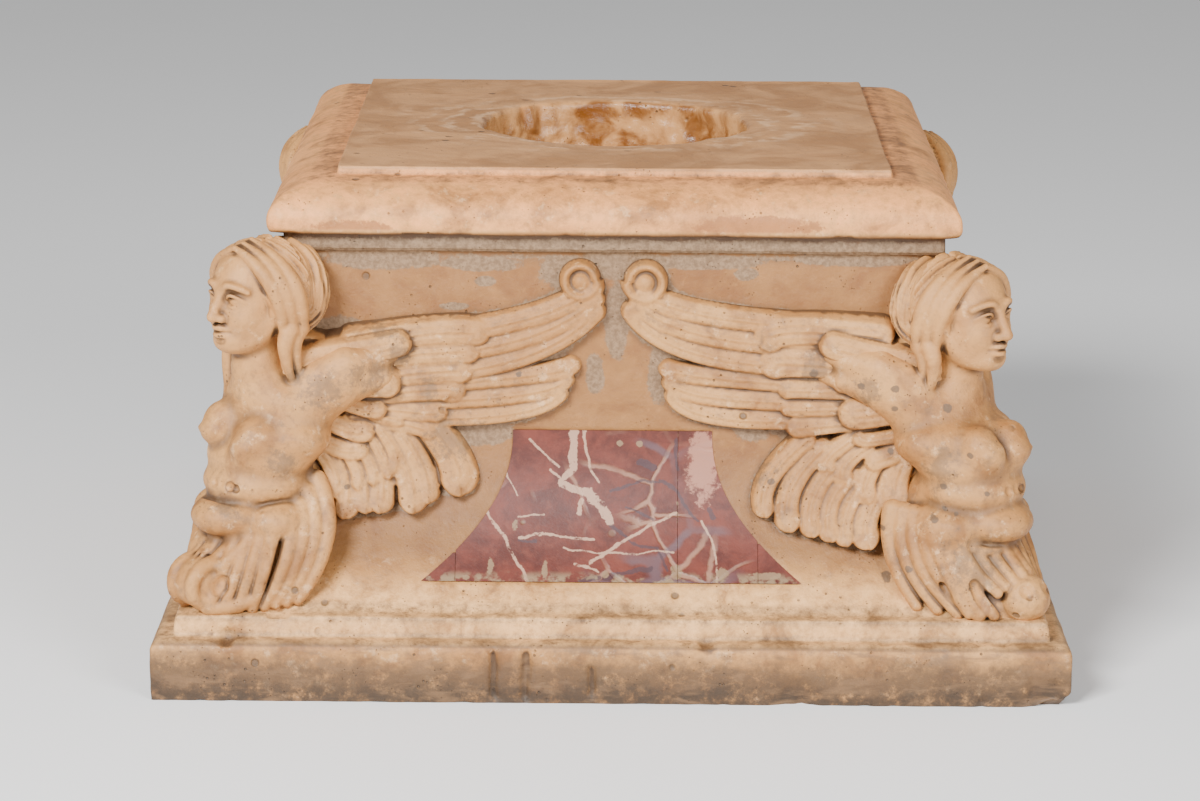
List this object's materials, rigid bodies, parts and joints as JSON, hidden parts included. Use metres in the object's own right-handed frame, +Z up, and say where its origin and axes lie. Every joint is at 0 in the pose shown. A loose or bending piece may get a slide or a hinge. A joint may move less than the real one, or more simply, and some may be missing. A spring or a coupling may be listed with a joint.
{
  "type": "marble pedestal",
  "caption": "Square stone pedestal with a winged half-figure at each corner, red marble inlays in its flared faces, a cushion cap and a round socket on top.",
  "frame": {"origin": "centre of the underside", "axes": "+Z up, the front face with the four-piece inlay looks towards -Y, +X to the right of it"},
  "size_m": [0.6, 0.6, 0.333],
  "materials": {
    "marble": "aged cream marble with honey stains and dirt",
    "red_marble": "honed red marble with white veins"
  },
  "bodies": {
    "root": {"marble_block": "marble", "inlay_front_main": "red_marble", "inlay_front_right": "red_marble", "inlay_front_left_corner": "red_marble", "inlay_front_right_corner": "red_marble", "inlay_right": "red_marble", "inlay_back": "red_marble", "inlay_left": "red_marble"}
  },
  "joints": []
}
